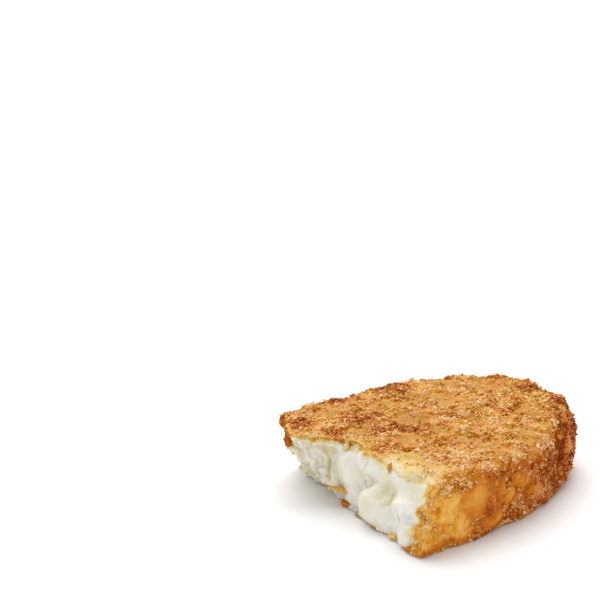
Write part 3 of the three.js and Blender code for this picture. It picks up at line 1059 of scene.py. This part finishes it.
# painted shade: creases and hollows are coloured a darker, greenish cream
colour = mix_colour(tree, maths(tree, "MULTIPLY", kept(tree, "gap"), 0.8), colour, CREAM_AND_HOLLOW_SHADE)
edge_colour = use(tree, cut_edge, Depth=kept(tree, "depth")).outputs["Colour"]
colour = mix_colour(tree, step(tree, kept(tree, "depth"), 1.0, DEEPEST), edge_colour, colour)
fine = use(tree, speckle, Size_in_mm=0.9, Amount=0.0)
finish_shader(
    tree, shader,
    {
        "Base Color": colour, "Roughness": gloss(tree, 0.34, 0.55, 2.0),
        "Normal": bump(tree, fine.outputs["Height"], 0.06),
    },
    {
        "IOR": 1.38, "Specular IOR Level": 0.25, "Subsurface Weight": 0.85,
        "Subsurface Radius": (1.0, 0.85, 0.7), "Subsurface Scale": 1.8 * MM,
    },
)

# %% [markdown]
# ## Crumb
#
# Every crumb has its own tone, from pale peach to red-brown, so one material colours all of them. Each
# crumb is also painted paler on its top, as a painted highlight.

# %% The crumb material
crumb, tree, shader = new_material("fried_crumb")
grain = use(tree, speckle, Size_in_mm=0.35, Amount=0.3)
blotch = use(tree, drift, Size_in_mm=0.7).outputs["Share"]
uneven_tone = maths(tree, "MULTIPLY_ADD", blotch, 0.16, kept(tree, "tone"))
uneven_tone = maths(tree, "SUBTRACT", uneven_tone, 0.08)
colour = use(tree, fried_tone, Tone=uneven_tone, Rosy=kept(tree, "rosy")).outputs["Colour"]
finish_shader(
    tree, shader,
    {
        "Base Color": colour, "Roughness": gloss(tree, 0.22, 0.42, 0.8),
        "Normal": bump(tree, grain.outputs["Height"], 0.06),
    },
    {"IOR": 1.45, "Specular IOR Level": 0.14},
)

# %% Dress the pieces
WHITE_FROM = 1.3  # millimetres of shown depth
UNDER_CRUST = 0.8  # millimetres of true depth
skin.materials.append(crust)
skin.materials.append(flesh)
loop_start = read_numbers(skin.polygons, "loop_start").ravel()
loop_total = read_numbers(skin.polygons, "loop_total").ravel()
loop_points = read_numbers(skin.loops, "vertex_index").ravel()
under_crust = depth[loop_points] > UNDER_CRUST
face_depth = np.add.reduceat(shown_depth[loop_points] * under_crust, loop_start) / loop_total
skin.polygons.foreach_set("material_index", (face_depth > WHITE_FROM).astype(np.int32))
print(f"{(face_depth > WHITE_FROM).mean():.0%} of the faces are soft potato")
for piece in pieces:
    piece.data.materials.append(crumb)
for piece in [patty, *pieces]:
    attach(piece, "root")
    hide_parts("hash_brown")

# %% [markdown]
# ## Floor, light and camera
#
# A white sweep, a broad soft light from behind and above, low white cards in front and on the right, and
# a white room that fills the shadows.

# %% The studio
scene = bpy.context.scene
scene.view_settings.view_transform = "Standard"


def aimed(thing, place, target):
    thing.location = place
    thing.rotation_mode = "QUATERNION"
    thing.rotation_quaternion = (Vector(target) - Vector(place)).to_track_quat("-Z", "Y")


FLOOR_REACH = 3.0
PAPER, BRIGHTER_PAPER = (0.90, 0.90, 0.90, 1), (0.92, 0.92, 0.92, 1)
ROOM_STRENGTH = 0.38

floor_mesh = bpy.data.meshes.new("floor")
floor_corners = [(x * FLOOR_REACH, y * FLOOR_REACH, 0) for x, y in ((-1, -1), (1, -1), (1, 1), (-1, 1))]
floor_mesh.from_pydata(floor_corners, [], [(0, 1, 2, 3)])
floor = link("floor", floor_mesh)
white, tree, shader = new_material("white_sweep")
slow = use(tree, drift, Size_in_mm=90.0).outputs["Share"]
paper = mix_colour(tree, slow, PAPER, BRIGHTER_PAPER)
finish_shader(tree, shader, {"Base Color": paper}, {"Roughness": 0.9})
floor.data.materials.append(white)

world = bpy.data.worlds.new("white_room")
world.use_nodes = True
room = world.node_tree.nodes["Background"]
room.inputs["Color"].default_value = (1.0, 1.0, 1.0, 1)
seen = add(world.node_tree, "ShaderNodeLightPath").outputs["Is Camera Ray"]
plug(world.node_tree, room.inputs["Strength"], maths(world.node_tree, "MAXIMUM", seen, ROOM_STRENGTH))
scene.world = world


def soft_light(name, direction, softness, strength):
    """A far light: the way to it, its width in degrees as seen from the part, and its strength."""
    data = bpy.data.lights.new(name, "SUN")
    data.angle = math.radians(softness)
    data.energy = strength
    lamp = bpy.data.objects.new(name, data)
    scene.collection.objects.link(lamp)
    aimed(lamp, direction, (0, 0, 0))


soft_light("window", (0.34, 0.52, 0.78), 60, 3.0)
soft_light("card", (-0.86, -0.5, 0.12), 90, 1.4)
soft_light("side_card", (0.95, -0.25, 0.2), 80, 0.8)

# %% The camera
AIM = Vector((3.38, 7.04, 0)) * MM
AZIMUTH = math.radians(-43.1)
ELEVATION = math.radians(22)
DISTANCE = 600 * MM
LENS_OVER_WIDTH = 3.929
RIGHT_OF_MIDDLE, BELOW_MIDDLE = 0.2167, 0.2833  # where the aim lies in the picture, in widths

level = Vector((math.sin(AZIMUTH), -math.cos(AZIMUTH), 0))
backward = level * math.cos(ELEVATION) + Vector((0, 0, math.sin(ELEVATION)))
camera = bpy.data.objects.new("camera", bpy.data.cameras.new("camera"))
scene.collection.objects.link(camera)
scene.camera = camera
camera.data.sensor_width = 36
camera.data.lens = LENS_OVER_WIDTH * camera.data.sensor_width
camera.location = AIM + DISTANCE * backward
straight = (-backward).to_track_quat("-Z", "Y")
pan = math.atan2(RIGHT_OF_MIDDLE, LENS_OVER_WIDTH)
tilt = math.atan2(BELOW_MIDDLE, math.hypot(RIGHT_OF_MIDDLE, LENS_OVER_WIDTH))
camera.rotation_mode = "QUATERNION"
camera.rotation_quaternion = straight @ Quaternion((0, 1, 0), pan) @ Quaternion((1, 0, 0), tilt)
